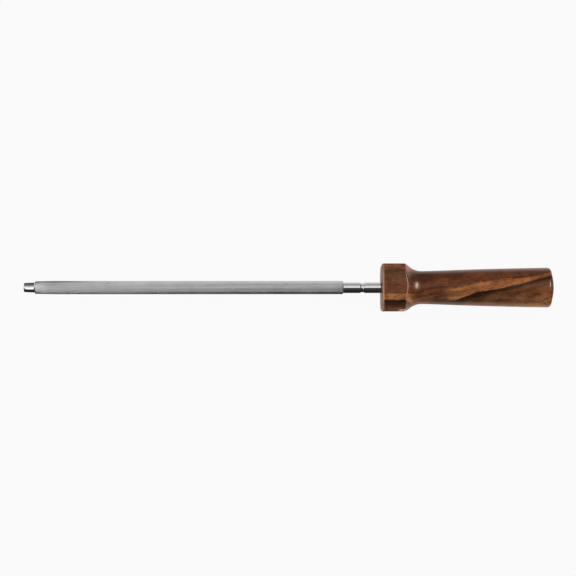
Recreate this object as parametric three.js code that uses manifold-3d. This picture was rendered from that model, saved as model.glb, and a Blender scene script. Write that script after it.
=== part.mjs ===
// A butcher's honing steel: a ribbed, hardened steel with a polished tip and neck, glued and screwed into
// a one-piece walnut handle whose front is an octagonal guard.
// Millimetres, +Z up. The steel lies along X, with its tip towards -X and the handle's butt towards +X.
// The origin is half way along it, on the plane of the guard's lower flat.
import * as THREE from "three";
import { mergeVertices } from "three/addons/utils/BufferGeometryUtils.js";
import Module from "manifold-3d";

// Every station below is a distance along the axis from the guard's front face, negative towards the tip.
const steelLength = 257; // tip's end to guard
const handleLength = 124;

// Walnut handle
const guardAcrossFlats = 33;
const guardWideFlat = 20.9; // the four flats up, down and to the sides, with narrower ones between them
const guardEasing = 1.6;
const guardTurnedRadius = 21; // blank's radius where the cove starts, just clear of the octagon's corners
const coveRadius = 13.3;
const coveBottom = 29; // station where the cove is deepest
const neckRadius = 11.9;
const buttRadius = 14.3;
const buttRounding = 2.6;
const buttCrown = 1.9; // how far the middle of the butt stands out past its rounded edge
const gripSwell = { near: 12, far: 60, farRadius: 13.4 }; // pulls of the curve from the neck to the butt
const boreRadius = 4.25;
const boreDepth = 60;
const boreMouthChamfer = 0.3;
const pilotRadius = 2.9;
const pilotDepth = 70;

// Ribbed rod, one bar with its tang
const rodRadius = 4.75;
const ribCount = 60;
const ribDepth = 0.12;
const rodFront = -249.4; // where the rod ends and the tip stands out
const rodBack = -27.1;
const rodFrontCone = 0.7; // length of the short cone at the tip
const rodFrontRadius = 3.85;
const leadInLength = 12;
const leadInDrop = 0.22; // how much smaller the rod is at the start of the lead-in
const ribClearance = 0.05; // keeps the turned envelope off the crests, which the ribs themselves set
const rodBackChamfer = 0.7;
const tangRadius = 2.65;
const tangKeys = [12, 22, 32]; // stations of the grooves that lock the tang in the adhesive
const tangKeyWidth = 2.4;
const tangKeyDepth = 0.5;
const tangThreadStart = 43;
const tangThreadRadius = 2.2;
const tangEnd = 64;
const tipSocketRadius = 2.3;
const tipSocketDepth = 11;

// Tip
const tipRadius = 3.33; // at its end; it thickens a little towards the rod
const tipShoulderRadius = 3.6;
const tipRounding = 0.45;
const tipPinRadius = 2;
const tipPinLength = 10;

// Neck ferrule
const ferruleRadius = 3.95;
const ferruleBoreRadius = 2.95;
const ferruleTail = 4.5; // how far it is let into the handle
const ferruleRounding = 0.4;
const grooveStation = -13.4;
const grooveHalfWidth = 1.7;
const grooveDepth = 0.6;

// Pieces sealed in the handle
const fitGap = 0.3;
const insertStart = 43;
const insertLength = 15;
const insertBoreRadius = 2.5;
const insertTeeth = 20;
const insertToothDepth = 0.35;
const insertCollarGroove = 1.2;

const roundFacets = 60;
const smallFacets = 40;
const curveSteps = 5;

const walnut = new THREE.MeshStandardMaterial({ color: 0x5a3825, roughness: 0.42, metalness: 0 });
const ribbedSteel = new THREE.MeshStandardMaterial({ color: 0x9a9a9c, roughness: 0.38, metalness: 1 });
const polishedSteel = new THREE.MeshStandardMaterial({ color: 0xd6d6d8, roughness: 0.08, metalness: 1 });
const neckSteel = new THREE.MeshStandardMaterial({ color: 0xd2d1d0, roughness: 0.1, metalness: 1 });
const brass = new THREE.MeshStandardMaterial({ color: 0xb59a52, roughness: 0.35, metalness: 1 });
const curedEpoxy = new THREE.MeshStandardMaterial({ color: 0xc9b27a, roughness: 0.3, metalness: 0 });

const wasm = await Module();
wasm.setup();

// A closed three.js geometry as a manifold-3d solid.
function solidOf(geometry) {
  const bare = geometry.clone();
  bare.deleteAttribute("normal");
  bare.deleteAttribute("uv");
  const merged = mergeVertices(bare, 1e-4);
  return new wasm.Manifold(
    new wasm.Mesh({
      numProp: 3,
      vertProperties: new Float32Array(merged.attributes.position.array),
      triVerts: new Uint32Array(merged.index.array),
    }),
  );
}

// A manifold-3d solid as a named three.js mesh.
function meshOf(name, solid, material) {
  const result = solid.getMesh();
  const geometry = new THREE.BufferGeometry();
  geometry.setAttribute("position", new THREE.BufferAttribute(result.vertProperties, 3));
  geometry.setIndex(new THREE.BufferAttribute(result.triVerts, 1));
  const mesh = new THREE.Mesh(geometry.toNonIndexed(), material);
  mesh.geometry.computeVertexNormals();
  mesh.name = name;
  return mesh;
}

// A turned solid round the X axis. The outline's points are (radius, station), with the stations rising
// on the outside.
function turned(outline, facets) {
  const points = Array.isArray(outline) ? outline.map(([r, x]) => new THREE.Vector2(r, x)) : outline;
  return solidOf(new THREE.LatheGeometry(points, facets).rotateZ(-Math.PI / 2));
}

// A prism of a closed section standing square to the X axis, between two stations.
function prism(section, from, to, easing = 0) {
  const geometry = new THREE.ExtrudeGeometry(section, {
    depth: to - from - 2 * easing,
    bevelEnabled: easing > 0,
    bevelSize: easing,
    bevelThickness: easing,
    bevelSegments: 2,
  });
  return solidOf(geometry.rotateY(Math.PI / 2).translate(from + easing, 0, 0));
}

// The section of a bar with pointed teeth or ribs all round it.
function toothedSection(radius, depth, count) {
  const points = [];
  for (let i = 0; i < 2 * count; i++) {
    const r = i % 2 ? radius - depth : radius;
    const angle = (i * Math.PI) / count;
    points.push(new THREE.Vector2(r * Math.cos(angle), r * Math.sin(angle)));
  }
  return new THREE.Shape(points);
}

// The guard's octagon, drawn smaller all round by the easing that the prism's bevel gives back.
function octagonSection(inset) {
  const flat = guardAcrossFlats / 2 - inset;
  const corner = guardWideFlat / 2 - inset * Math.tan(Math.PI / 8);
  const points = [];
  for (let side = 0; side < 4; side++) {
    const turn = (side * Math.PI) / 2;
    const centre = new THREE.Vector2();
    points.push(new THREE.Vector2(flat, -corner).rotateAround(centre, turn));
    points.push(new THREE.Vector2(flat, corner).rotateAround(centre, turn));
  }
  return new THREE.Shape(points);
}

// Guard and grip are one blank: an octagonal bar, bored, and turned down behind the guard to the cove and
// the grip.
function walnutHandle() {
  const outline = new THREE.Path();
  outline.moveTo(0, pilotDepth);
  outline.lineTo(pilotRadius, pilotDepth);
  outline.lineTo(pilotRadius, boreDepth);
  outline.lineTo(boreRadius, boreDepth);
  outline.lineTo(boreRadius, boreMouthChamfer);
  outline.lineTo(boreRadius + boreMouthChamfer, 0);
  outline.lineTo(guardTurnedRadius, 0);
  const coveCentre = neckRadius + coveRadius;
  const coveStart = Math.acos((coveCentre - guardTurnedRadius) / coveRadius);
  outline.absarc(coveCentre, coveBottom, coveRadius, coveStart - Math.PI, -Math.PI, true);
  const buttEdge = handleLength - buttCrown - buttRounding;
  outline.bezierCurveTo(
    neckRadius,
    coveBottom + gripSwell.near,
    gripSwell.farRadius,
    gripSwell.far,
    buttRadius,
    buttEdge,
  );
  outline.absarc(buttRadius - buttRounding, buttEdge, buttRounding, 0, Math.PI / 2, false);
  const crownEdge = buttRadius - buttRounding;
  const crownRadius = (crownEdge ** 2 + buttCrown ** 2) / (2 * buttCrown);
  const crownStart = Math.acos(crownEdge / crownRadius);
  outline.absarc(0, handleLength - crownRadius, crownRadius, crownStart, Math.PI / 2, false);
  const blank = prism(octagonSection(guardEasing), 0, handleLength + guardEasing, guardEasing);
  const solid = turned(outline.getPoints(curveSteps), roundFacets).intersect(blank);
  return meshOf("walnut_handle", solid, walnut);
}

// The hardened bar: ribs along its whole working length, a socket for the tip, and a reduced tang behind.
function ribbedRod() {
  const envelope = turned(
    [
      [0, rodFront],
      [rodFrontRadius, rodFront],
      [rodRadius - leadInDrop, rodFront + rodFrontCone],
      [rodRadius + ribClearance, rodFront + rodFrontCone + leadInLength],
      [rodRadius + ribClearance, rodBack - rodBackChamfer],
      [rodRadius - rodBackChamfer, rodBack],
      [0, rodBack],
    ],
    roundFacets,
  );
  const ribs = prism(toothedSection(rodRadius, ribDepth, ribCount), rodFront, rodBack);
  const socket = turned(
    [
      [0, rodFront - 1],
      [tipSocketRadius, rodFront - 1],
      [tipSocketRadius, rodFront + tipSocketDepth],
      [0, rodFront + tipSocketDepth],
    ],
    smallFacets,
  );
  const solid = ribs.intersect(envelope).subtract(socket).add(turned(tangOutline(), smallFacets));
  return meshOf("ribbed_rod", solid, ribbedSteel);
}

// The tang starts inside the rod, so that the two join as one bar.
function tangOutline() {
  const outline = [
    [0, rodBack - 2],
    [tangRadius, rodBack - 2],
  ];
  for (const station of tangKeys) {
    outline.push([tangRadius, station - tangKeyWidth / 2]);
    outline.push([tangRadius - tangKeyDepth, station - tangKeyWidth / 2 + tangKeyDepth]);
    outline.push([tangRadius - tangKeyDepth, station + tangKeyWidth / 2 - tangKeyDepth]);
    outline.push([tangRadius, station + tangKeyWidth / 2]);
  }
  outline.push([tangRadius, tangThreadStart - fitGap]);
  outline.push([tangThreadRadius, tangThreadStart - fitGap]);
  outline.push([tangThreadRadius, tangEnd - 0.8]);
  outline.push([tangThreadRadius - 0.8, tangEnd]);
  outline.push([0, tangEnd]);
  return outline;
}

// The polished tip and the pin that holds it in the rod's socket are one turning.
function tipPin() {
  const outline = new THREE.Path();
  outline.moveTo(0, -steelLength);
  outline.lineTo(tipRadius - tipRounding, -steelLength);
  outline.absarc(tipRadius - tipRounding, tipRounding - steelLength, tipRounding, -Math.PI / 2, 0, false);
  outline.lineTo(tipShoulderRadius, rodFront);
  outline.lineTo(tipPinRadius, rodFront);
  outline.lineTo(tipPinRadius, rodFront + tipPinLength);
  outline.lineTo(0, rodFront + tipPinLength);
  return meshOf("tip_pin", turned(outline.getPoints(3), smallFacets), polishedSteel);
}

// A polished sleeve over the tang, with one hollow ring turned in it, let a little way into the guard.
function neckFerrule() {
  const front = rodBack;
  const outline = new THREE.Path();
  outline.moveTo(ferruleBoreRadius, front);
  outline.lineTo(ferruleRadius - ferruleRounding, front);
  outline.lineTo(ferruleRadius, front + ferruleRounding);
  outline.lineTo(ferruleRadius, grooveStation - grooveHalfWidth);
  const arcRadius = (grooveHalfWidth ** 2 + grooveDepth ** 2) / (2 * grooveDepth);
  const arcCentre = ferruleRadius + arcRadius - grooveDepth;
  const halfAngle = Math.asin(grooveHalfWidth / arcRadius);
  outline.absarc(arcCentre, grooveStation, arcRadius, Math.PI + halfAngle, Math.PI - halfAngle, true);
  outline.lineTo(ferruleRadius, ferruleTail);
  outline.lineTo(ferruleBoreRadius, ferruleTail);
  outline.lineTo(ferruleBoreRadius, front);
  return meshOf("neck_ferrule", turned(outline.getPoints(4), roundFacets), neckSteel);
}

// A toothed brass insert at the bottom of the bore. Its thread is drawn as a plain hole.
function threadedInsert() {
  const end = insertStart + insertLength;
  const middle = (insertStart + end) / 2;
  const outside = boreRadius - 0.1;
  const collar = outside - insertToothDepth - 0.3;
  const envelope = turned(
    [
      [insertBoreRadius, insertStart],
      [collar, insertStart],
      [outside, insertStart + 1],
      [outside, middle - insertCollarGroove],
      [collar, middle - insertCollarGroove],
      [collar, middle + insertCollarGroove],
      [outside, middle + insertCollarGroove],
      [outside, end],
      [insertBoreRadius, end],
      [insertBoreRadius, insertStart],
    ],
    smallFacets,
  );
  const teeth = prism(toothedSection(outside, insertToothDepth, insertTeeth), insertStart, end);
  return meshOf("threaded_insert", teeth.intersect(envelope), brass);
}

// The cured adhesive fills the bore round the tang, between the ferrule's tail and the insert.
function epoxyBond() {
  const from = ferruleTail + fitGap;
  const to = insertStart - fitGap;
  const outside = boreRadius - fitGap;
  const inside = tangRadius + fitGap;
  const outline = [
    [inside, from],
    [outside, from],
    [outside, to],
    [inside, to],
    [inside, from],
  ];
  return meshOf("epoxy_bond", turned(outline, smallFacets), curedEpoxy);
}

const steel = new THREE.Group();
steel.add(ribbedRod(), tipPin(), neckFerrule());

const handle = new THREE.Group();
handle.add(walnutHandle(), threadedInsert(), epoxyBond());

const honingSteel = new THREE.Group();
honingSteel.add(steel, handle);
honingSteel.position.set((steelLength - handleLength) / 2, 0, guardAcrossFlats / 2);

export default honingSteel;
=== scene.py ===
import math

import bmesh
import bpy
from mathutils import Matrix, Vector


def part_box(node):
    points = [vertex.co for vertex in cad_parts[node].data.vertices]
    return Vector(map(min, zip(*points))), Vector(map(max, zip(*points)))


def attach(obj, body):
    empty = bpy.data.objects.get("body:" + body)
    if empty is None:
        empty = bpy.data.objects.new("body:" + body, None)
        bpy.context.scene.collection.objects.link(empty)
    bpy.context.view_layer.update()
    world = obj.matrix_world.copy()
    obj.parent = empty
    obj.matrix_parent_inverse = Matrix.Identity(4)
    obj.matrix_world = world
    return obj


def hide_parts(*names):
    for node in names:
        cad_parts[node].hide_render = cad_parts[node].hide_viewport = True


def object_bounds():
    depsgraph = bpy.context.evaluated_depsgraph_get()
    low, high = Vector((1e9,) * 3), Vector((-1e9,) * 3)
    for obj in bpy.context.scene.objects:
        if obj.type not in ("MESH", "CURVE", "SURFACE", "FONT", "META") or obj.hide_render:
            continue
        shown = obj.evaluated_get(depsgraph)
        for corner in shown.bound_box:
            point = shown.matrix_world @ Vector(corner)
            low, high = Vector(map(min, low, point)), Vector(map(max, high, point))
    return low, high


# Honing steel: a walnut handle with an octagonal guard, a ribbed rod, a polished tip and a polished neck.
# The script works in metres. Shape settings are in millimetres, and mm turns them into metres.

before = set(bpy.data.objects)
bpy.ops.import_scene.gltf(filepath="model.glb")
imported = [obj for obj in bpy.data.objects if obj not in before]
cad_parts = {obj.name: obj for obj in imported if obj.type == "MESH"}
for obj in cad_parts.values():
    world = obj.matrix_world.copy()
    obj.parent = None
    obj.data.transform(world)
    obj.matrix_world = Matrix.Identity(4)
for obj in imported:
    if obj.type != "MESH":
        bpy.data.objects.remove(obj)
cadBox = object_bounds()
mm = 0.001

# The steel lies along X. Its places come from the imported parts' boxes.
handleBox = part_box("walnut_handle")
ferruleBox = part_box("neck_ferrule")
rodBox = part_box("ribbed_rod")
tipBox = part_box("tip_pin")
guardFaceX = handleBox[0].x
axisZ = (handleBox[0].z + handleBox[1].z) / 2
middleX = (cadBox[0].x + cadBox[1].x) / 2
print("frame loaded, guard face at", round(guardFaceX / mm, 2), "mm, axis at", round(axisZ / mm, 2), "mm")


cameraLook = {
    "distance": 1.4,  # from the axis to the camera
    "elevation": 85,  # degrees above the floor, leaning a little to the -Y side
    "lens": 121.5,
    "sensor": 36,
    "aimAlong": -0.0005,  # the aim passes a little to the tip's side of the middle
    "aimAcross": -0.0003,  # and a little to the -Y side of the axis
}


def addCamera(look):
    data = bpy.data.cameras.new("studioCamera")
    data.lens = look["lens"]
    data.sensor_width = look["sensor"]
    camera = bpy.data.objects.new("studioCamera", data)
    bpy.context.scene.collection.objects.link(camera)
    tilt = math.radians(look["elevation"])
    back = Vector((0, -math.cos(tilt), math.sin(tilt)))
    aim = Vector((middleX + look["aimAlong"], look["aimAcross"], axisZ))
    camera.location = aim + back * look["distance"]
    camera.rotation_mode = "QUATERNION"
    camera.rotation_quaternion = (-back).to_track_quat("-Z", "Y")
    bpy.context.scene.camera = camera


addCamera(cameraLook)

# Each panel is aimed at a place on the steel. Two angles from straight up say where it hangs:
# along turns it towards +X, across towards +Y. Its size is given along X, then across.
panels = {
    "handleKey": {
        "aim": guardFaceX, "along": 40, "across": 12, "distance": 1.2,
        "size": (0.14, 0.62), "watts": 44.0, "color": (1.0, 0.77, 0.62),
    },
    "handleFill": {
        "aim": guardFaceX + 0.06, "along": 5, "across": -66, "distance": 1.0,
        "size": (0.7, 0.4), "watts": 16.0,
    },
    "guardFill": {
        "aim": guardFaceX, "along": -55, "across": -8, "distance": 1.1,
        "size": (0.35, 0.6), "watts": 4.0,
    },
    "tipStrip": {
        "aim": tipBox[0].x, "along": -9, "across": -28, "distance": 1.05,
        "size": (0.26, 0.72), "watts": 0.80,
    },
}


def addPanel(name, look):
    data = bpy.data.lights.new(name, "AREA")
    data.shape = "RECTANGLE"
    data.size, data.size_y = look["size"]
    data.energy = look["watts"]
    data.color = look.get("color", (1, 1, 1))
    panel = bpy.data.objects.new(name, data)
    bpy.context.scene.collection.objects.link(panel)
    along, across = math.radians(look["along"]), math.radians(look["across"])
    up = Vector((math.tan(along), math.tan(across), 1)).normalized()
    panel.location = Vector((look["aim"], 0, axisZ)) + up * look["distance"]
    crosswise = (Vector((0, 1, 0)) - up * up.y).normalized()
    panel.rotation_mode = "QUATERNION"
    panel.rotation_quaternion = Matrix((crosswise.cross(up), crosswise, up)).transposed().to_quaternion()
    panel.visible_camera = False
    return panel


handleKey = addPanel("handleKey", panels["handleKey"])
handleFill = addPanel("handleFill", panels["handleFill"])
handleFill.visible_glossy = False
guardFill = addPanel("guardFill", panels["guardFill"])
addPanel("tipStrip", panels["tipStrip"])

# the white table in front of the guard and beside the grip, as the handle's finish mirrors it;
# each patch runs from one corner to the other, in metres from the guard's face and from the axis
tableLooks = {
    "guardShine": {"from": (-0.05, -0.03), "to": (0.0, 0.03), "watts": 0.012, "color": (1, 0.82, 0.69)},
    "gripShine": {"from": (0.014, -0.08), "to": (0.14, -0.018), "watts": 0.080, "color": (1, 0.74, 0.58)},
    "farShine": {"from": (0.014, 0.018), "to": (0.14, 0.08), "watts": 0.060, "color": (1, 0.74, 0.60)},
}


def addShine(name, look):
    data = bpy.data.lights.new(name, "AREA")
    data.shape = "RECTANGLE"
    data.size, data.size_y = [b - a for a, b in zip(look["from"], look["to"])]
    data.energy = look["watts"]
    data.color = look["color"]
    table = bpy.data.objects.new(name, data)
    bpy.context.scene.collection.objects.link(table)
    middle = [(a + b) / 2 for a, b in zip(look["from"], look["to"])]
    table.location = (guardFaceX + middle[0], middle[1], handleBox[0].z + 0.0005)
    table.rotation_euler = (math.pi, 0, 0)
    table.visible_camera = False
    return table


tableShines = [addShine(name, look) for name, look in tableLooks.items()]


def setRamp(node, stops):
    ramp = node.color_ramp
    while len(ramp.elements) > 1:
        ramp.elements.remove(ramp.elements[-1])
    ramp.elements[0].position = stops[0][0]
    ramp.elements[0].color = (*stops[0][1], 1)
    for position, color in stops[1:]:
        ramp.elements.new(position).color = (*color, 1)


# a graded card beside the tip, dark below and lighter above, which only reflections see
tipCardLook = {
    "away": 0.12,  # from the axis, on the +Y side
    "from": -0.32,
    "to": -0.165,
    "foot": -0.25,
    "top": 0.42,
    # how light it is at each height above the axis
    "greys": ((-0.25, 0.04), (0, 0.07), (0.04, 0.15), (0.124, 0.31), (0.35, 0.55), (0.42, 0.75)),
}


def addTipCard(look):
    mesh = bpy.data.meshes.new("tipCard")
    foot, top = look["foot"], look["top"]
    corners = [(look["from"], 0, foot), (look["to"], 0, foot), (look["to"], 0, top), (look["from"], 0, top)]
    mesh.from_pydata(corners, [], [(0, 1, 2, 3)])
    card = bpy.data.objects.new("tipCard", mesh)
    bpy.context.scene.collection.objects.link(card)
    card.location = (0, look["away"], axisZ)
    material = bpy.data.materials.new("gradedCard")
    material.use_nodes = True
    nodes, links = material.node_tree.nodes, material.node_tree.links
    place = nodes.new("ShaderNodeTexCoord")
    split = nodes.new("ShaderNodeSeparateXYZ")
    links.new(place.outputs["Object"], split.inputs[0])
    height = nodes.new("ShaderNodeMapRange")
    height.inputs["From Min"].default_value = foot
    height.inputs["From Max"].default_value = top
    links.new(split.outputs["Z"], height.inputs["Value"])
    greys = nodes.new("ShaderNodeValToRGB")
    setRamp(greys, [((at - foot) / (top - foot), (grey,) * 3) for at, grey in look["greys"]])
    links.new(height.outputs[0], greys.inputs[0])
    shader = nodes["Principled BSDF"]
    shader.inputs["Base Color"].default_value = (0, 0, 0, 1)
    shader.inputs["Specular IOR Level"].default_value = 0
    shader.inputs["Emission Strength"].default_value = 1
    links.new(greys.outputs[0], shader.inputs["Emission Color"])
    mesh.materials.append(material)
    card.visible_camera = card.visible_diffuse = card.visible_shadow = False


addTipCard(tipCardLook)

# The studio's walls as the steel sees them: how bright it is at each angle round the X axis,
# from 0 straight down, through 90 at the -Y side and 180 straight up, to 270 at the +Y side.
studioWalls = [
    (0, 0.4), (9, 0.30), (30, 0.08), (55, 0.02), (100, 0.02), (125, 0.05), (150, 0.04), (167, 0.10),
    (173, 1.0), (202, 1.05), (212, 0.62), (232, 0.34), (258, 0.55), (285, 0.80), (315, 1.05),
    (338, 1.0), (350, 0.6), (360, 0.4),
]
paperWhite = 0.956


def buildStudio():
    world = bpy.data.worlds.new("studio")
    bpy.context.scene.world = world
    world.use_nodes = True
    nodes, links = world.node_tree.nodes, world.node_tree.links
    nodes.clear()
    place = nodes.new("ShaderNodeTexCoord")
    split = nodes.new("ShaderNodeSeparateXYZ")
    links.new(place.outputs["Generated"], split.inputs[0])
    minusZ = nodes.new("ShaderNodeMath")
    minusZ.operation = "MULTIPLY"
    minusZ.inputs[1].default_value = -1
    links.new(split.outputs["Z"], minusZ.inputs[0])
    minusY = nodes.new("ShaderNodeMath")
    minusY.operation = "MULTIPLY"
    minusY.inputs[1].default_value = -1
    links.new(split.outputs["Y"], minusY.inputs[0])
    turn = nodes.new("ShaderNodeMath")
    turn.operation = "ARCTAN2"
    links.new(minusY.outputs[0], turn.inputs[0])
    links.new(minusZ.outputs[0], turn.inputs[1])
    share = nodes.new("ShaderNodeMath")
    share.operation = "DIVIDE"
    share.inputs[1].default_value = 2 * math.pi
    links.new(turn.outputs[0], share.inputs[0])
    wrap = nodes.new("ShaderNodeMath")
    wrap.operation = "FRACT"
    links.new(share.outputs[0], wrap.inputs[0])
    walls = nodes.new("ShaderNodeValToRGB")
    setRamp(walls, [(angle / 360, (level,) * 3) for angle, level in studioWalls])
    links.new(wrap.outputs[0], walls.inputs[0])
    seen = nodes.new("ShaderNodeBackground")
    links.new(walls.outputs[0], seen.inputs["Color"])
    paper = nodes.new("ShaderNodeBackground")
    paper.inputs["Color"].default_value = (paperWhite, paperWhite, paperWhite, 1)
    path = nodes.new("ShaderNodeLightPath")
    either = nodes.new("ShaderNodeMixShader")
    links.new(path.outputs["Is Camera Ray"], either.inputs[0])
    links.new(seen.outputs[0], either.inputs[1])
    links.new(paper.outputs[0], either.inputs[2])
    output = nodes.new("ShaderNodeOutputWorld")
    links.new(either.outputs[0], output.inputs["Surface"])


buildStudio()

floorLook = {"size": 30, "glow": 0.94, "paper": 0.03}


def addFloor(look):
    mesh = bpy.data.meshes.new("studioFloor")
    half = look["size"] / 2
    mesh.from_pydata(
        [(-half, -half, 0), (half, -half, 0), (half, half, 0), (-half, half, 0)], [], [(0, 1, 2, 3)]
    )
    floor = bpy.data.objects.new("studioFloor", mesh)
    bpy.context.scene.collection.objects.link(floor)
    material = bpy.data.materials.new("floorPaper")
    material.use_nodes = True
    shader = material.node_tree.nodes["Principled BSDF"]
    shader.inputs["Base Color"].default_value = (look["paper"],) * 3 + (1,)
    shader.inputs["Roughness"].default_value = 0.9
    shader.inputs["Specular IOR Level"].default_value = 0
    shader.inputs["Emission Color"].default_value = (1, 1, 1, 1)
    shader.inputs["Emission Strength"].default_value = look["glow"]
    mesh.materials.append(material)
    floor.visible_glossy = False
    floor.location.z = handleBox[0].z


addFloor(floorLook)
bpy.context.scene.view_settings.view_transform = "Standard"
print("studio ready")


# mesh helpers: a piece is a chain of rings of points, each ring joined to the next
def arcPoints(centre, radius, fromAngle, toAngle, steps):
    points = []
    for i in range(steps + 1):
        angle = math.radians(fromAngle + (toAngle - fromAngle) * i / steps)
        points.append((centre[0] + radius * math.cos(angle), centre[1] + radius * math.sin(angle)))
    return points


def roundRing(station, radius, angles):
    return [(station, radius * math.cos(a), radius * math.sin(a)) for a in angles]


def evenAngles(count):
    return [2 * math.pi * i / count for i in range(count)]


def ringMesh(name, rings, body, closeLoop=False, sharpAngle=35):
    # rings are in millimetres from the guard's face and the axis
    bm = bmesh.new()
    rows = []
    for ring in rings:
        rows.append([bm.verts.new((guardFaceX + x * mm, y * mm, axisZ + z * mm)) for x, y, z in ring])
    count = max(len(row) for row in rows)
    pairs = list(zip(rows, rows[1:]))
    if closeLoop:
        pairs.append((rows[-1], rows[0]))
    for first, second in pairs:
        for i in range(count):
            j = (i + 1) % count
            if len(first) == 1:
                bm.faces.new((first[0], second[i], second[j]))
            elif len(second) == 1:
                bm.faces.new((first[i], second[0], first[j]))
            else:
                bm.faces.new((first[i], second[i], second[j], first[j]))
    bmesh.ops.recalc_face_normals(bm, faces=bm.faces)
    mesh = bpy.data.meshes.new(name)
    bm.to_mesh(mesh)
    bm.free()
    for face in mesh.polygons:
        face.use_smooth = True
    mesh.set_sharp_from_angle(angle=math.radians(sharpAngle))
    piece = bpy.data.objects.new(name, mesh)
    bpy.context.scene.collection.objects.link(piece)
    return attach(piece, body)


def turnedPiece(name, outline, facets, closeLoop=False):
    # outline is (station, radius); a radius of 0 is a point on the axis
    angles = evenAngles(facets)
    rings = []
    for station, radius in outline:
        rings.append([(station, 0, 0)] if radius == 0 else roundRing(station, radius, angles))
    return ringMesh(name, rings, "root", closeLoop)


# walnut handle: an octagonal guard, a turned cove and a round grip, all one blank
handleShape = {
    "flatSpan": 20.9,  # width of the four wide flats
    "flatSteps": (44, 20),  # facets across a wide flat and a narrow one
    "edgeSoftness": 0.245,  # how far the sanding rounds the guard's edges
    "frontEasing": 1.6,
    "coveRadius": 13.3,
    "coveBottom": 29,
    "coveSoftness": 1.3,  # the same where the cove meets the flats
    # rings along the guard: start, step and count, finest where the cove cuts the flats
    "stationRuns": ((1.8, 0.85, 15), (14.4, 0.2, 40), (22.5, 0.55, 12)),
    "neckRadius": 11.9,
    "gripPull": (12, 60, 13.4),  # where the grip's curve is pulled to on its way to the butt
    "buttRadius": 14.3,
    "buttRounding": 2.6,
    "buttCrown": 1.9,  # how far the middle of the butt stands out past its rounded edge
    "boreRadius": 4.25,
    "boreDepth": 60,
    "mouthChamfer": 0.15,
    "pilotRadius": 2.9,
    "pilotDepth": 70,
}


def softMin(a, b, blend):
    share = max(0, min(1, 0.5 + 0.5 * (b - a) / blend))
    return b + (a - b) * share - blend * share * (1 - share)


def crowdedAngles(corners, steps):
    # angles round the octagon, closer together near its corners
    angles = []
    for start, end, count in zip(corners, corners[1:] + [corners[0] + 2 * math.pi], steps):
        for i in range(count):
            share = i / count
            share -= 0.85 * math.sin(2 * math.pi * share) / (2 * math.pi)
            angles.append(start + (end - start) * share)
    return angles


def bezierPoint(p, t):
    u = 1 - t
    weights = (u ** 3, 3 * u * u * t, 3 * u * t * t, t ** 3)
    return tuple(sum(w * q[k] for w, q in zip(weights, p)) for k in (0, 1))


def buildHandle(look):
    length = (handleBox[1].x - handleBox[0].x) / mm
    flat = (handleBox[1].z - handleBox[0].z) / mm / 2
    halfSpan = look["flatSpan"] / 2
    cornerAngle = math.atan2(halfSpan, flat)
    narrowFlat = (halfSpan + flat) / math.sqrt(2)
    corners = []
    for side in range(4):
        corners += [side * math.pi / 2 - cornerAngle, side * math.pi / 2 + cornerAngle]
    angles = crowdedAngles(corners, look["flatSteps"] * 4)

    def octagonRadius(angle):
        sides = []
        for turn in range(8):
            facing = math.cos(angle - turn * math.pi / 4)
            if facing > 0.5:
                sides.append((narrowFlat if turn % 2 else flat) / facing)
        reach = sides[0]
        for side in sides[1:]:
            reach = softMin(reach, side, look["edgeSoftness"])
        return reach

    octagon = [octagonRadius(a) for a in angles]
    coveCentre = look["neckRadius"] + look["coveRadius"]
    pull = look["gripPull"]
    buttEdge = length - look["buttCrown"] - look["buttRounding"]
    gripCurve = (
        (look["coveBottom"], look["neckRadius"]),
        (look["coveBottom"] + pull[0], look["neckRadius"]),
        (pull[1], pull[2]),
        (buttEdge, look["buttRadius"]),
    )

    def coveRadiusAt(station):
        # in front of the cove it is wider than the octagon, and cuts nothing
        drop = look["coveRadius"] ** 2 - (look["coveBottom"] - station) ** 2
        return coveCentre - math.sqrt(drop) if drop > 0 else 2 * flat

    rings = [[(look["pilotDepth"], 0, 0)]]
    for station, radius in (
        (look["pilotDepth"], look["pilotRadius"]),
        (look["boreDepth"], look["pilotRadius"]),
        (look["boreDepth"], look["boreRadius"]),
        (look["boreDepth"] / 2, look["boreRadius"]),
        (look["mouthChamfer"], look["boreRadius"]),
    ):
        rings.append(roundRing(station, radius, angles))
    # the front face opens out from the bore's round mouth to the octagon
    mouth = look["boreRadius"] + look["mouthChamfer"]
    easing = look["frontEasing"]
    for step in range(9):
        share = step / 8
        radii = [mouth + (r - easing - mouth) * share for r in octagon]
        rings.append([(0, r * math.cos(a), r * math.sin(a)) for r, a in zip(radii, angles)])
    for back, out in arcPoints((easing, 0), easing, 180, 90, 6)[1:]:
        radii = [r - easing + out for r in octagon]
        rings.append([(back, r * math.cos(a), r * math.sin(a)) for r, a in zip(radii, angles)])
    # the flats run back until the cove cuts them away
    stations = []
    for start, step, count in look["stationRuns"]:
        stations += [start + step * i for i in range(count)]
    for station in stations:
        cove = coveRadiusAt(station)
        radii = [softMin(r, cove, look["coveSoftness"]) for r in octagon]
        rings.append([(station, r * math.cos(a), r * math.sin(a)) for r, a in zip(radii, angles)])
    for i in range(1, 41):
        rings.append(roundRing(*bezierPoint(gripCurve, i / 40), angles))
    rounding = look["buttRounding"]
    for back, out in arcPoints((buttEdge, look["buttRadius"] - rounding), rounding, 90, 0, 10)[1:]:
        rings.append(roundRing(back, out, angles))
    for share in (0.85, 0.7, 0.55, 0.4, 0.25, 0.1):
        station = length - look["buttCrown"] * share * share
        rings.append(roundRing(station, (look["buttRadius"] - rounding) * share, angles))
    rings.append([(length, 0, 0)])
    piece = ringMesh("walnutHandle", rings, "root", sharpAngle=50)
    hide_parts("walnut_handle")
    return piece


walnutHandle = buildHandle(handleShape)
print("handle built:", len(walnutHandle.data.polygons), "faces")


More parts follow.
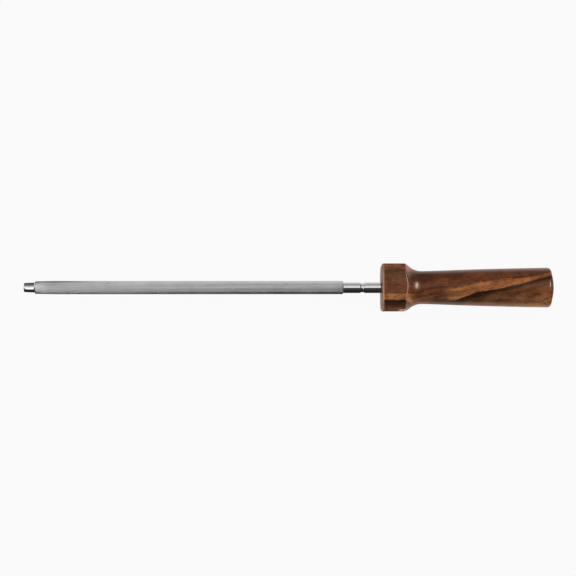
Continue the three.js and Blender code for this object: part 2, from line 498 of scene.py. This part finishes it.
# ribbed rod: one bar, ribbed in front of the guard, with the tang that runs into the handle
rodShape = {
    "ribs": 60,
    "ribDepth": 0.12,
    "frontCone": 0.7,
    "frontRadius": 3.85,
    "coneInset": 0.06,  # how far the cone's back edge stays under the crests
    "coneStep": 0.15,  # from the cone to where the ribs begin
    "leadIn": 12,  # length over which the ribs come up to full height
    "leadInDrop": 0.22,
    "backChamfer": 0.7,
    "socketRadius": 2.3,
    "socketDepth": 11,
    "tangRadius": 2.65,
    "tangKeys": (12, 22, 32),  # grooves that the glue grips
    "keyWidth": 2.4,
    "keyDepth": 0.5,
    "threadStart": 42.7,
    "threadRadius": 2.2,
    "endChamfer": 0.8,
}


def buildRod(look):
    front = (rodBox[0].x - guardFaceX) / mm
    back = (ferruleBox[0].x - guardFaceX) / mm
    tangEnd = (rodBox[1].x - guardFaceX) / mm
    radius = (rodBox[1].y - rodBox[0].y) / mm / 2
    profile = (0, 0, 0.03, 0.3, 0.85, 1, 0.85, 0.3, 0.03, 0)  # depth across one rib, from crest to crest
    angles = evenAngles(look["ribs"] * len(profile))

    def ribRing(station, outside, share=1.0):
        ring = []
        for i, a in enumerate(angles):
            r = outside - look["ribDepth"] * share * profile[i % len(profile)]
            ring.append((station, r * math.cos(a), r * math.sin(a)))
        return ring

    rings = [[(front + look["socketDepth"], 0, 0)]]
    rings.append(roundRing(front + look["socketDepth"], look["socketRadius"], angles))
    rings.append(roundRing(front, look["socketRadius"], angles))
    rings.append(roundRing(front, look["frontRadius"], angles))
    coneEnd = front + look["frontCone"]
    startRadius = radius - look["leadInDrop"]
    rings.append(roundRing(front + 0.9 * look["frontCone"], startRadius - look["coneInset"], angles))
    leadInStart = coneEnd + look["coneStep"]
    for share in [0, 0.02, 0.04] + [i / 12 for i in range(1, 13)]:
        rise = startRadius + look["leadInDrop"] * share
        rings.append(ribRing(leadInStart + look["leadIn"] * share, rise, min(1, 0.55 + 0.9 * share)))
    straightStart = leadInStart + look["leadIn"]
    straightEnd = back - look["backChamfer"]
    for i in range(1, 31):
        rings.append(ribRing(straightStart + (straightEnd - straightStart) * i / 30, radius))
    for i in range(1, 4):
        share = i / 3
        drop = look["backChamfer"] * share
        rings.append(ribRing(straightEnd + drop, radius - drop, 1 - share))
    rings.append(roundRing(back, look["tangRadius"], angles))
    for key in look["tangKeys"]:
        for along, down in ((-0.5, 0), (-0.29, 1), (0.29, 1), (0.5, 0)):
            station = key + along * look["keyWidth"]
            rings.append(roundRing(station, look["tangRadius"] - down * look["keyDepth"], angles))
    rings.append(roundRing(look["threadStart"], look["tangRadius"], angles))
    rings.append(roundRing(look["threadStart"], look["threadRadius"], angles))
    chamfer = look["endChamfer"]
    rings.append(roundRing(tangEnd - chamfer, look["threadRadius"], angles))
    rings.append(roundRing(tangEnd, look["threadRadius"] - chamfer, angles))
    rings.append([(tangEnd, 0, 0)])
    piece = ringMesh("ribbedRod", rings, "root", sharpAngle=60)
    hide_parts("ribbed_rod")
    return piece


ribbedRod = buildRod(rodShape)
print("rod built:", len(ribbedRod.data.polygons), "faces")


# polished tip, with the pin that holds it in the rod
tipShape = {
    "rounding": 0.45,
    "taper": 0.27,
    "edgeBreak": 0.06,  # round the shoulder that meets the rod
    "pinRadius": 2.0,
    "pinLength": 10,
}


def buildTip(look):
    front = (tipBox[0].x - guardFaceX) / mm
    shoulder = (rodBox[0].x - guardFaceX) / mm
    radius = (tipBox[1].y - tipBox[0].y) / mm / 2
    rounding = look["rounding"]
    endRadius = radius - look["taper"]
    outline = [(front, 0), (front, radius * 0.5)]
    for along, out in arcPoints((front + rounding, endRadius - rounding), rounding, 180, 90, 8):
        outline.append((along, out))
    for back in (5, 2.5, 0.6, 0.25):
        outline.append((shoulder - back, radius - look["taper"] * back / (shoulder - front)))
    outline.append((shoulder - 0.05, radius - look["edgeBreak"]))
    outline += [(shoulder - 0.02, look["pinRadius"]), (shoulder + look["pinLength"], look["pinRadius"])]
    outline.append((shoulder + look["pinLength"], 0))
    piece = turnedPiece("polishedTip", outline, 160)
    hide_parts("tip_pin")
    return piece


polishedTip = buildTip(tipShape)


# polished neck: a sleeve with one hollow ring turned in it
neckShape = {
    "boreRadius": 2.95,
    "rounding": 0.35,
    "grooveStation": -13.4,
    "grooveHalfWidth": 1.7,
    "grooveDepth": 0.6,
    "grooveLip": 0.12,  # plain rim on each side of the hollow ring
}


def buildNeck(look):
    front = (ferruleBox[0].x - guardFaceX) / mm
    tail = (ferruleBox[1].x - guardFaceX) / mm
    radius = (ferruleBox[1].y - ferruleBox[0].y) / mm / 2
    half, depth = look["grooveHalfWidth"], look["grooveDepth"]
    hollow = (half * half + depth * depth) / (2 * depth)
    centre = (look["grooveStation"], radius + hollow - depth)
    swing = math.degrees(math.asin(half / hollow))
    lip = look["grooveLip"]
    outline = [(front, look["boreRadius"]), (front, radius - look["rounding"])]
    rounding = look["rounding"]
    outline += arcPoints((front + rounding, radius - rounding), rounding, 180, 90, 6)[1:]
    outline += [(front + 3, radius), (centre[0] - half - lip, radius)]
    outline += arcPoints(centre, hollow, 270 - swing, 270 + swing, 18)
    outline += [(centre[0] + half + lip, radius), (-3, radius), (tail, radius), (tail, look["boreRadius"])]
    piece = turnedPiece("polishedNeck", outline, 160, closeLoop=True)
    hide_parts("neck_ferrule")
    return piece


polishedNeck = buildNeck(neckShape)
print("tip and neck built")


# material helpers: most add to a node tree and give back the new output
def newMaterial(name):
    material = bpy.data.materials.new(name)
    material.use_nodes = True
    return material, material.node_tree, material.node_tree.nodes["Principled BSDF"]


def plug(tree, socket, value):
    if isinstance(value, bpy.types.NodeSocket):
        tree.links.new(value, socket)
    elif isinstance(value, tuple):
        socket.default_value = (*value, 1)
    else:
        socket.default_value = value


def calc(tree, kind, first, second=0.0):
    node = tree.nodes.new("ShaderNodeMath")
    node.operation = kind
    plug(tree, node.inputs[0], first)
    plug(tree, node.inputs[1], second)
    return node.outputs[0]


def span(tree, value, low, high, toLow=0.0, toHigh=1.0, smooth=False):
    node = tree.nodes.new("ShaderNodeMapRange")
    node.interpolation_type = "SMOOTHSTEP" if smooth else "LINEAR"
    for key, number in (("From Min", low), ("From Max", high), ("To Min", toLow), ("To Max", toHigh)):
        node.inputs[key].default_value = number
    plug(tree, node.inputs["Value"], value)
    return node.outputs[0]


def follow(tree, value, points):
    # a smooth curve through the points, each (value, result)
    low, high = points[0][0], points[-1][0]
    least, most = min(p[1] for p in points), max(p[1] for p in points)
    node = tree.nodes.new("ShaderNodeFloatCurve")
    curve = node.mapping.curves[0]
    spots = [((at - low) / (high - low), (result - least) / (most - least)) for at, result in points]
    curve.points[0].location, curve.points[1].location = spots[0], spots[-1]
    for spot in spots[1:-1]:
        curve.points.new(*spot)
    for point in curve.points:
        point.handle_type = "AUTO_CLAMPED"
    node.mapping.update()
    plug(tree, node.inputs["Value"], span(tree, value, low, high))
    return span(tree, node.outputs[0], 0, 1, least, most)


def ramp(tree, value, stops):
    node = tree.nodes.new("ShaderNodeValToRGB")
    setRamp(node, stops)
    plug(tree, node.inputs[0], value)
    return node.outputs[0]


def blend(tree, share, first, second, kind="MIX"):
    node = tree.nodes.new("ShaderNodeMix")
    node.data_type = "RGBA"
    node.blend_type = kind
    plug(tree, node.inputs[0], share)
    plug(tree, node.inputs[6], first)
    plug(tree, node.inputs[7], second)
    return node.outputs[2]


def steelPlace(tree):
    # millimetres from the guard's face along the steel, and from its axis across and up
    coord = tree.nodes.new("ShaderNodeTexCoord")
    shift = tree.nodes.new("ShaderNodeMapping")
    shift.inputs["Location"].default_value = (-guardFaceX / mm, 0, -axisZ / mm)
    shift.inputs["Scale"].default_value = (1 / mm, 1 / mm, 1 / mm)
    tree.links.new(coord.outputs["Object"], shift.inputs["Vector"])
    split = tree.nodes.new("ShaderNodeSeparateXYZ")
    tree.links.new(shift.outputs[0], split.inputs[0])
    return split.outputs[0], split.outputs[1], split.outputs[2]


def joined(tree, x, y, z):
    node = tree.nodes.new("ShaderNodeCombineXYZ")
    for socket, value in zip(node.inputs, (x, y, z)):
        plug(tree, socket, value)
    return node.outputs[0]


def noise(tree, vector, perMm, detail=2.0, roughness=0.5, shift=0.0):
    # perMm says how many times a millimetre the pattern changes, in each direction
    stretch = tree.nodes.new("ShaderNodeMapping")
    stretch.inputs["Location"].default_value = (shift, shift, shift)
    stretch.inputs["Scale"].default_value = perMm
    tree.links.new(vector, stretch.inputs["Vector"])
    node = tree.nodes.new("ShaderNodeTexNoise")
    node.inputs["Scale"].default_value = 1
    node.inputs["Detail"].default_value = detail
    node.inputs["Roughness"].default_value = roughness
    tree.links.new(stretch.outputs[0], node.inputs["Vector"])
    return node.outputs[0]


def addBump(tree, shader, height, distance, strength):
    node = tree.nodes.new("ShaderNodeBump")
    node.inputs["Strength"].default_value = strength
    node.inputs["Distance"].default_value = distance
    tree.links.new(height, node.inputs["Height"])
    tree.links.new(node.outputs[0], shader.inputs["Normal"])


# walnut: growth layers run almost lengthwise at the guard and rise across the grip towards the butt.
# A pale layer lies on top of a nearly black one, and their boundary is level 0. Lengths are in millimetres,
# and a list that changes along the handle gives a station first and then the value there.
walnutLook = {
    "layerTilt": -18.5,  # how far the layers lean about the steel's axis, in degrees
    "boundary": (  # how high level 0 lies
        (0, -15.0), (20, -14.6), (30, -12.8), (38, -11.8), (52.5, -11.5), (60, -9.9), (70, -7.7),
        (84, -6.1), (98.5, -3.1), (106, -1.2), (113, 0.6), (124, 4.0),
    ),
    "wander": 0.5,  # how far a layer strays
    "wanderPerMm": (0.03, 0.12, 0.06),
    "layers": (  # by level, without the pale and the dark one
        (-25, (0.0600, 0.0240, 0.0080)),
        (-14, (0.0540, 0.0205, 0.0062)),
        (-10, (0.0370, 0.0140, 0.0040)),
        (-6, (0.0290, 0.0112, 0.0032)),
        (-3, (0.0250, 0.0093, 0.0027)),
        (-1.5, (0.0200, 0.0074, 0.0022)),
        (-0.9, (0.0055, 0.0020, 0.0007)),
        (0.1, (0.0100, 0.0035, 0.0013)),
        (0.6, (0.0315, 0.0113, 0.0034)),
        (6.8, (0.0299, 0.0105, 0.0034)),
        (7.4, (0.0174, 0.0059, 0.0019)),
        (8.1, (0.0344, 0.0118, 0.0041)),
        (11.5, (0.0335, 0.0114, 0.0038)),
        (14.5, (0.0280, 0.0092, 0.0032)),
        (18, (0.0262, 0.0096, 0.0038)),
        (21, (0.0199, 0.0076, 0.0029)),
        (25, (0.0205, 0.0077, 0.0031)),
        (28, (0.0183, 0.0071, 0.0030)),
        (31, (0.0370, 0.0140, 0.0055)),
        (40, (0.0540, 0.0220, 0.0088)),
    ),
    "toneAndPaintedShadeAlong": (  # how light the wood is along the handle: lighter on the guard, and darker in the cove, where the darkening is painted shade
        (0, 1.4), (16, 1.4), (24, 0.75), (34, 0.72), (46, 1.05), (60, 1.0), (98, 1.0), (112, 0.9),
        (124, 0.9),
    ),
    "pale": (0.0730, 0.0290, 0.0093),
    "paleTop": 7.4,  # the level where the pale layer ends
    "paleWidth": ((0, 5.2), (22, 5.4), (42, 7.2), (84, 7.4), (98, 5.5), (123, 4.4)),
    "paleShare": (  # how strongly the pale layer shows
        (0, 0.9), (19, 0.85), (25, 0.15), (38, 0.1), (46, 0.35), (56, 0.9), (96, 0.9), (112, 0.5),
        (124, 0.3),
    ),
    "dark": (0.0066, 0.0022, 0.0007),
    "darkShare": (
        (0, 0.85), (18, 0.85), (25, 0.2), (36, 0.3), (47, 0.95), (82, 0.95), (97, 0.6), (110, 0.3),
        (124, 0.3),
    ),
    # the painted highlight on the guard's eased front edge: its colour and how strongly it shows
    "paintedEdgeHighlight": (0.22, 0.14, 0.10),
    "paintedHighlightShare": 0.6,
    "streakDepth": 0.62,
    "streakPerMm": (0.032, 0.5, 0.32),
    "figureDepth": 0.34,
    "figurePerMm": (0.11, 0.16, 0.12),
    "poreDepth": 0.75,
    "porePerMm": (0.30, 1.7, 1.7),
    "poreColor": (0.30, 0.24, 0.20),
    "roughness": (0.42, 0.56),
    "coatWeight": 0.34,
    "coatIor": 1.45,
    "coatRoughness": 0.30,
    "specular": 0.0,
}


def walnutMaterial(look):
    material, tree, shader = newMaterial("oiledWalnut")
    along, across, up = steelPlace(tree)
    lean = math.radians(look["layerTilt"])
    leanSin, leanCos = math.sin(lean), math.cos(lean)
    acrossPart = calc(tree, "MULTIPLY", across, leanCos)
    height = calc(tree, "ADD", acrossPart, calc(tree, "MULTIPLY", up, leanSin))
    upPart = calc(tree, "MULTIPLY", up, leanCos)
    beside = calc(tree, "SUBTRACT", upPart, calc(tree, "MULTIPLY", across, leanSin))
    level = calc(tree, "SUBTRACT", height, follow(tree, along, look["boundary"]))
    drift = noise(tree, joined(tree, along, level, beside), look["wanderPerMm"], 2.0)
    level = calc(tree, "ADD", level, span(tree, drift, 0.3, 0.7, -look["wander"], look["wander"]))
    grainSpace = joined(tree, along, level, beside)
    # above the boundary the layers widen and narrow along the wood
    above = calc(tree, "DIVIDE", calc(tree, "MAXIMUM", level, 0), follow(tree, along, look["paleWidth"]))
    upperLayer = calc(tree, "MULTIPLY", above, look["paleTop"])
    layer = calc(tree, "ADD", upperLayer, calc(tree, "MINIMUM", level, 0))
    lowest, highest = look["layers"][0][0], look["layers"][-1][0]
    stops = [((at - lowest) / (highest - lowest), color) for at, color in look["layers"]]
    color = ramp(tree, span(tree, layer, lowest, highest), stops)
    # painted shade darkens the cove here, and the guard is made lighter
    toneAndPaintedShade = follow(tree, along, look["toneAndPaintedShadeAlong"])
    color = blend(tree, 1.0, color, joined(tree, toneAndPaintedShade, toneAndPaintedShade, toneAndPaintedShade), "MULTIPLY")
    paleTop = span(tree, above, 0.7, 1.02, 1, 0, smooth=True)
    paleLayer = calc(tree, "MULTIPLY", span(tree, above, 0.0, 0.07), paleTop)
    paleHere = calc(tree, "MULTIPLY", paleLayer, follow(tree, along, look["paleShare"]))
    color = blend(tree, paleHere, color, look["pale"])
    darkFoot = span(tree, level, -3.6, -1.2, smooth=True)
    darkLayer = calc(tree, "MULTIPLY", darkFoot, span(tree, level, -0.3, 0.0, 1, 0))
    darkHere = calc(tree, "MULTIPLY", darkLayer, follow(tree, along, look["darkShare"]))
    color = blend(tree, darkHere, color, look["dark"])
    # streaks along the grain, in fine and broad sizes, then a soft figure across it
    streaks = noise(tree, grainSpace, look["streakPerMm"], 6.0, 0.74)
    depth = look["streakDepth"]
    shade = span(tree, streaks, 0.32, 0.68, 1 - depth, 1 + depth)
    color = blend(tree, 1.0, color, joined(tree, shade, shade, shade), "MULTIPLY")
    figure = noise(tree, grainSpace, look["figurePerMm"], 3.0, 0.55, 40)
    depth = look["figureDepth"]
    shade = span(tree, figure, 0.34, 0.66, 1 - depth, 1 + depth)
    color = blend(tree, 1.0, color, joined(tree, shade, shade, shade), "MULTIPLY")
    # pores, short dark dashes
    dashes = noise(tree, grainSpace, look["porePerMm"], 1.0, 0.5, 80)
    pores = span(tree, dashes, 0.57, 0.66, smooth=True)
    poreShare = calc(tree, "MULTIPLY", pores, look["poreDepth"])
    color = blend(tree, poreShare, color, look["poreColor"], "MULTIPLY")
    # the guard's eased front edge is painted paler: a painted highlight that stands for the white floor's
    # reflection in that edge
    edgeHighlightMask = calc(tree, "MULTIPLY", span(tree, along, 1.9, 0.9), span(tree, along, 0.0, 0.35))
    color = blend(tree, calc(tree, "MULTIPLY", edgeHighlightMask, look["paintedHighlightShare"]), color, look["paintedEdgeHighlight"])
    tree.links.new(color, shader.inputs["Base Color"])
    tree.links.new(span(tree, streaks, 0.3, 0.7, *look["roughness"]), shader.inputs["Roughness"])
    relief = calc(tree, "SUBTRACT", calc(tree, "MULTIPLY", streaks, 0.5), pores)
    addBump(tree, shader, relief, 0.00004, 0.35)
    shader.inputs["Specular IOR Level"].default_value = look["specular"]
    shader.inputs["Coat Weight"].default_value = look["coatWeight"]
    shader.inputs["Coat IOR"].default_value = look["coatIor"]
    shader.inputs["Coat Roughness"].default_value = look["coatRoughness"]
    return material


walnutHandle.data.materials.append(walnutMaterial(walnutLook))

# ribbed steel: satin, with long draw marks, and ground brighter on the lead-in behind the tip
ribbedLook = {
    "bright": (0.74, 0.74, 0.75),
    "dull": (0.60, 0.60, 0.61),
    "marksPerMm": (0.012, 0.9, 0.9),
    "cloudPerMm": (0.10, 0.25, 0.25),
    "roughness": (0.26, 0.36),
    "leadInRoughness": 0.33,
    "leadInColor": (0.93, 0.93, 0.93),
    "leadInLength": 13,
}


def ribbedMaterial(look):
    material, tree, shader = newMaterial("ribbedSteel")
    along, across, up = steelPlace(tree)
    place = joined(tree, along, across, up)
    marks = noise(tree, place, look["marksPerMm"], 2.0, 0.55)
    cloud = noise(tree, place, look["cloudPerMm"], 3.0, 0.55, 20)
    mixed = calc(tree, "ADD", calc(tree, "MULTIPLY", marks, 0.5), calc(tree, "MULTIPLY", cloud, 0.5))
    start = (rodBox[0].x - guardFaceX) / mm
    smoother = span(tree, along, start + look["leadInLength"], start + 1, smooth=True)
    color = ramp(tree, mixed, ((0.38, look["dull"]), (0.62, look["bright"])))
    tree.links.new(blend(tree, smoother, color, look["leadInColor"]), shader.inputs["Base Color"])
    rough = span(tree, cloud, 0.3, 0.7, *look["roughness"])
    drop = calc(tree, "MULTIPLY", calc(tree, "SUBTRACT", rough, look["leadInRoughness"]), smoother)
    tree.links.new(calc(tree, "SUBTRACT", rough, drop), shader.inputs["Roughness"])
    addBump(tree, shader, marks, 0.00002, 0.15)
    shader.inputs["Metallic"].default_value = 1
    return material


ribbedRod.data.materials.append(ribbedMaterial(ribbedLook))

# polished steel: faint turning marks that run round the piece, and a slight haze
polishLooks = {
    "mirrorSteel": {"bright": (0.76, 0.76, 0.76), "dull": (0.70, 0.70, 0.70), "roughness": (0.05, 0.10)},
    # the neck's steel is tinted a little warm: a painted reflection of the walnut handle beside it
    "turnedNeckSteel": {
        "bright": (0.74, 0.735, 0.73), "dull": (0.67, 0.665, 0.66), "roughness": (0.06, 0.12),
    },
}


def polishedMaterial(name):
    look = polishLooks[name]
    material, tree, shader = newMaterial(name)
    place = joined(tree, *steelPlace(tree))
    turning = noise(tree, place, (7.0, 0.12, 0.12), 3.0, 0.6)
    haze = noise(tree, place, (0.5, 0.5, 0.5), 2.0, 0.5, 30)
    color = ramp(tree, haze, ((0.35, look["dull"]), (0.6, look["bright"])))
    tree.links.new(color, shader.inputs["Base Color"])
    tree.links.new(span(tree, turning, 0.3, 0.7, *look["roughness"]), shader.inputs["Roughness"])
    addBump(tree, shader, turning, 0.000004, 0.4)
    shader.inputs["Metallic"].default_value = 1
    return material


polishedTip.data.materials.append(polishedMaterial("mirrorSteel"))
polishedNeck.data.materials.append(polishedMaterial("turnedNeckSteel"))

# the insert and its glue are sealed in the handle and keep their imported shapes
hiddenLooks = {
    "threaded_insert": {
        "name": "turnedBrass", "bright": (0.62, 0.44, 0.17), "dull": (0.40, 0.27, 0.10),
        "perMm": (6.0, 0.3, 0.3), "roughness": (0.28, 0.42), "metallic": 1,
    },
    "epoxy_bond": {
        "name": "curedEpoxy", "bright": (0.58, 0.44, 0.22), "dull": (0.46, 0.33, 0.14),
        "perMm": (0.4, 0.4, 0.4), "roughness": (0.18, 0.35), "metallic": 0,
    },
}


def hiddenMaterial(look):
    material, tree, shader = newMaterial(look["name"])
    pattern = noise(tree, joined(tree, *steelPlace(tree)), look["perMm"], 3.0, 0.55)
    color = ramp(tree, pattern, ((0.35, look["dull"]), (0.65, look["bright"])))
    tree.links.new(color, shader.inputs["Base Color"])
    tree.links.new(span(tree, pattern, 0.3, 0.7, *look["roughness"]), shader.inputs["Roughness"])
    addBump(tree, shader, pattern, 0.00003, 0.3)
    shader.inputs["Metallic"].default_value = look["metallic"]
    return material


for nodeName, hiddenLook in hiddenLooks.items():
    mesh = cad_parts[nodeName].data
    mesh.materials.clear()
    mesh.materials.append(hiddenMaterial(hiddenLook))
print("materials made")

# the handle's own lamps are masked so that they leave the steel alone
masked = bpy.data.collections.new("lampsReach")
masked.objects.link(walnutHandle)
for lamp in [handleKey, handleFill, guardFill] + tableShines:
    lamp.light_linking.receiver_collection = masked
